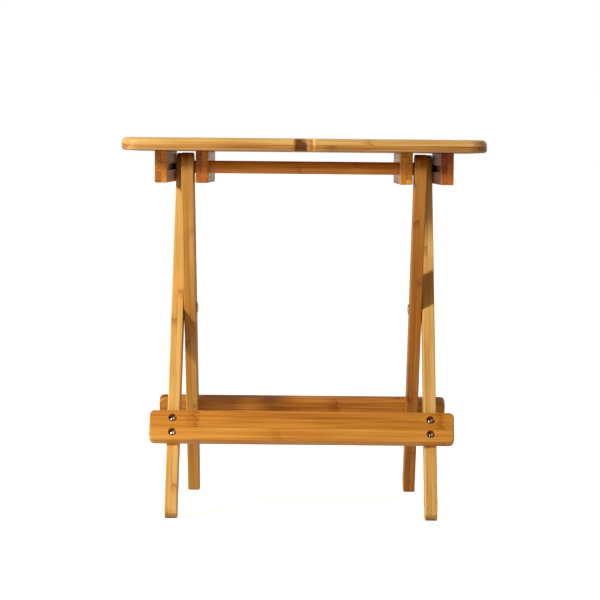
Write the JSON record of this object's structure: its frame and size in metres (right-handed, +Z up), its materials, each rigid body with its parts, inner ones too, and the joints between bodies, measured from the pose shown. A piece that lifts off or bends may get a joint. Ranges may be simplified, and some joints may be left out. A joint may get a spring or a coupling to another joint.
{
  "type": "folding tray table",
  "caption": "Small folding tray table with a rounded wooden top on crossed legs that close flat on a scissor pivot.",
  "frame": {"origin": "on the floor, under the middle of the table", "axes": "+Z up; -Y is the front, where the top's edge has its notch and the hinge rod lies; +X to the right"},
  "size_m": [0.48, 0.374, 0.505],
  "materials": {
    "bamboo_top": "satin lacquer over laminated bamboo strips",
    "bamboo_cleats": "satin lacquer over laminated bamboo strips",
    "bamboo_legs": "satin lacquer over laminated bamboo strips",
    "bamboo_rails": "satin lacquer over laminated bamboo strips",
    "bamboo_rod": "satin lacquer over a turned bamboo dowel",
    "zinc_screws": "zinc plated",
    "steel_pins": "ground steel",
    "nickel_pivots": "nickel plated",
    "nylon_washers": "matt nylon"
  },
  "bodies": {
    "outer_frame": {"outer_leg_left": "bamboo_legs", "outer_leg_right": "bamboo_legs", "slide_pin_left": "steel_pins", "slide_pin_right": "steel_pins", "front_rail": "bamboo_rails", "front_rail_screws_left": "zinc_screws", "front_rail_screws_right": "zinc_screws", "pivot_bolt_left": "nickel_pivots", "pivot_bolt_right": "nickel_pivots", "pivot_nut_left": "nickel_pivots", "pivot_nut_right": "nickel_pivots", "pivot_washer_left": "nylon_washers", "pivot_washer_right": "nylon_washers"},
    "inner_frame": {"inner_leg_left": "bamboo_legs", "inner_leg_right": "bamboo_legs", "hinge_rod": "bamboo_rod", "hinge_rod_screw_left": "zinc_screws", "hinge_rod_screw_right": "zinc_screws", "rear_rail": "bamboo_rails", "rear_rail_screws_left": "zinc_screws", "rear_rail_screws_right": "zinc_screws"},
    "top": {"tabletop": "bamboo_top", "outer_cleat_left": "bamboo_cleats", "outer_cleat_right": "bamboo_cleats", "inner_cleat_left": "bamboo_cleats", "inner_cleat_right": "bamboo_cleats", "outer_cleat_screws": "zinc_screws", "inner_cleat_screws": "zinc_screws"}
  },
  "joints": [
    {"name": "scissor_fold", "type": "hinge", "parent": "outer_frame", "child": "inner_frame", "pos_m": [0, 0, 0.27198], "axis": [-1, 0, 0], "range_deg": [0, 58.8]},
    {"name": "top_hinge", "type": "hinge", "parent": "inner_frame", "child": "top", "pos_m": [0, -0.111, 0.4665], "axis": [1, 0, 0], "range_deg": [0, 29.4]}
  ],
  "couplings": [
    {"joint": "top_hinge", "follows": "scissor_fold", "ratio": 0.5}
  ]
}
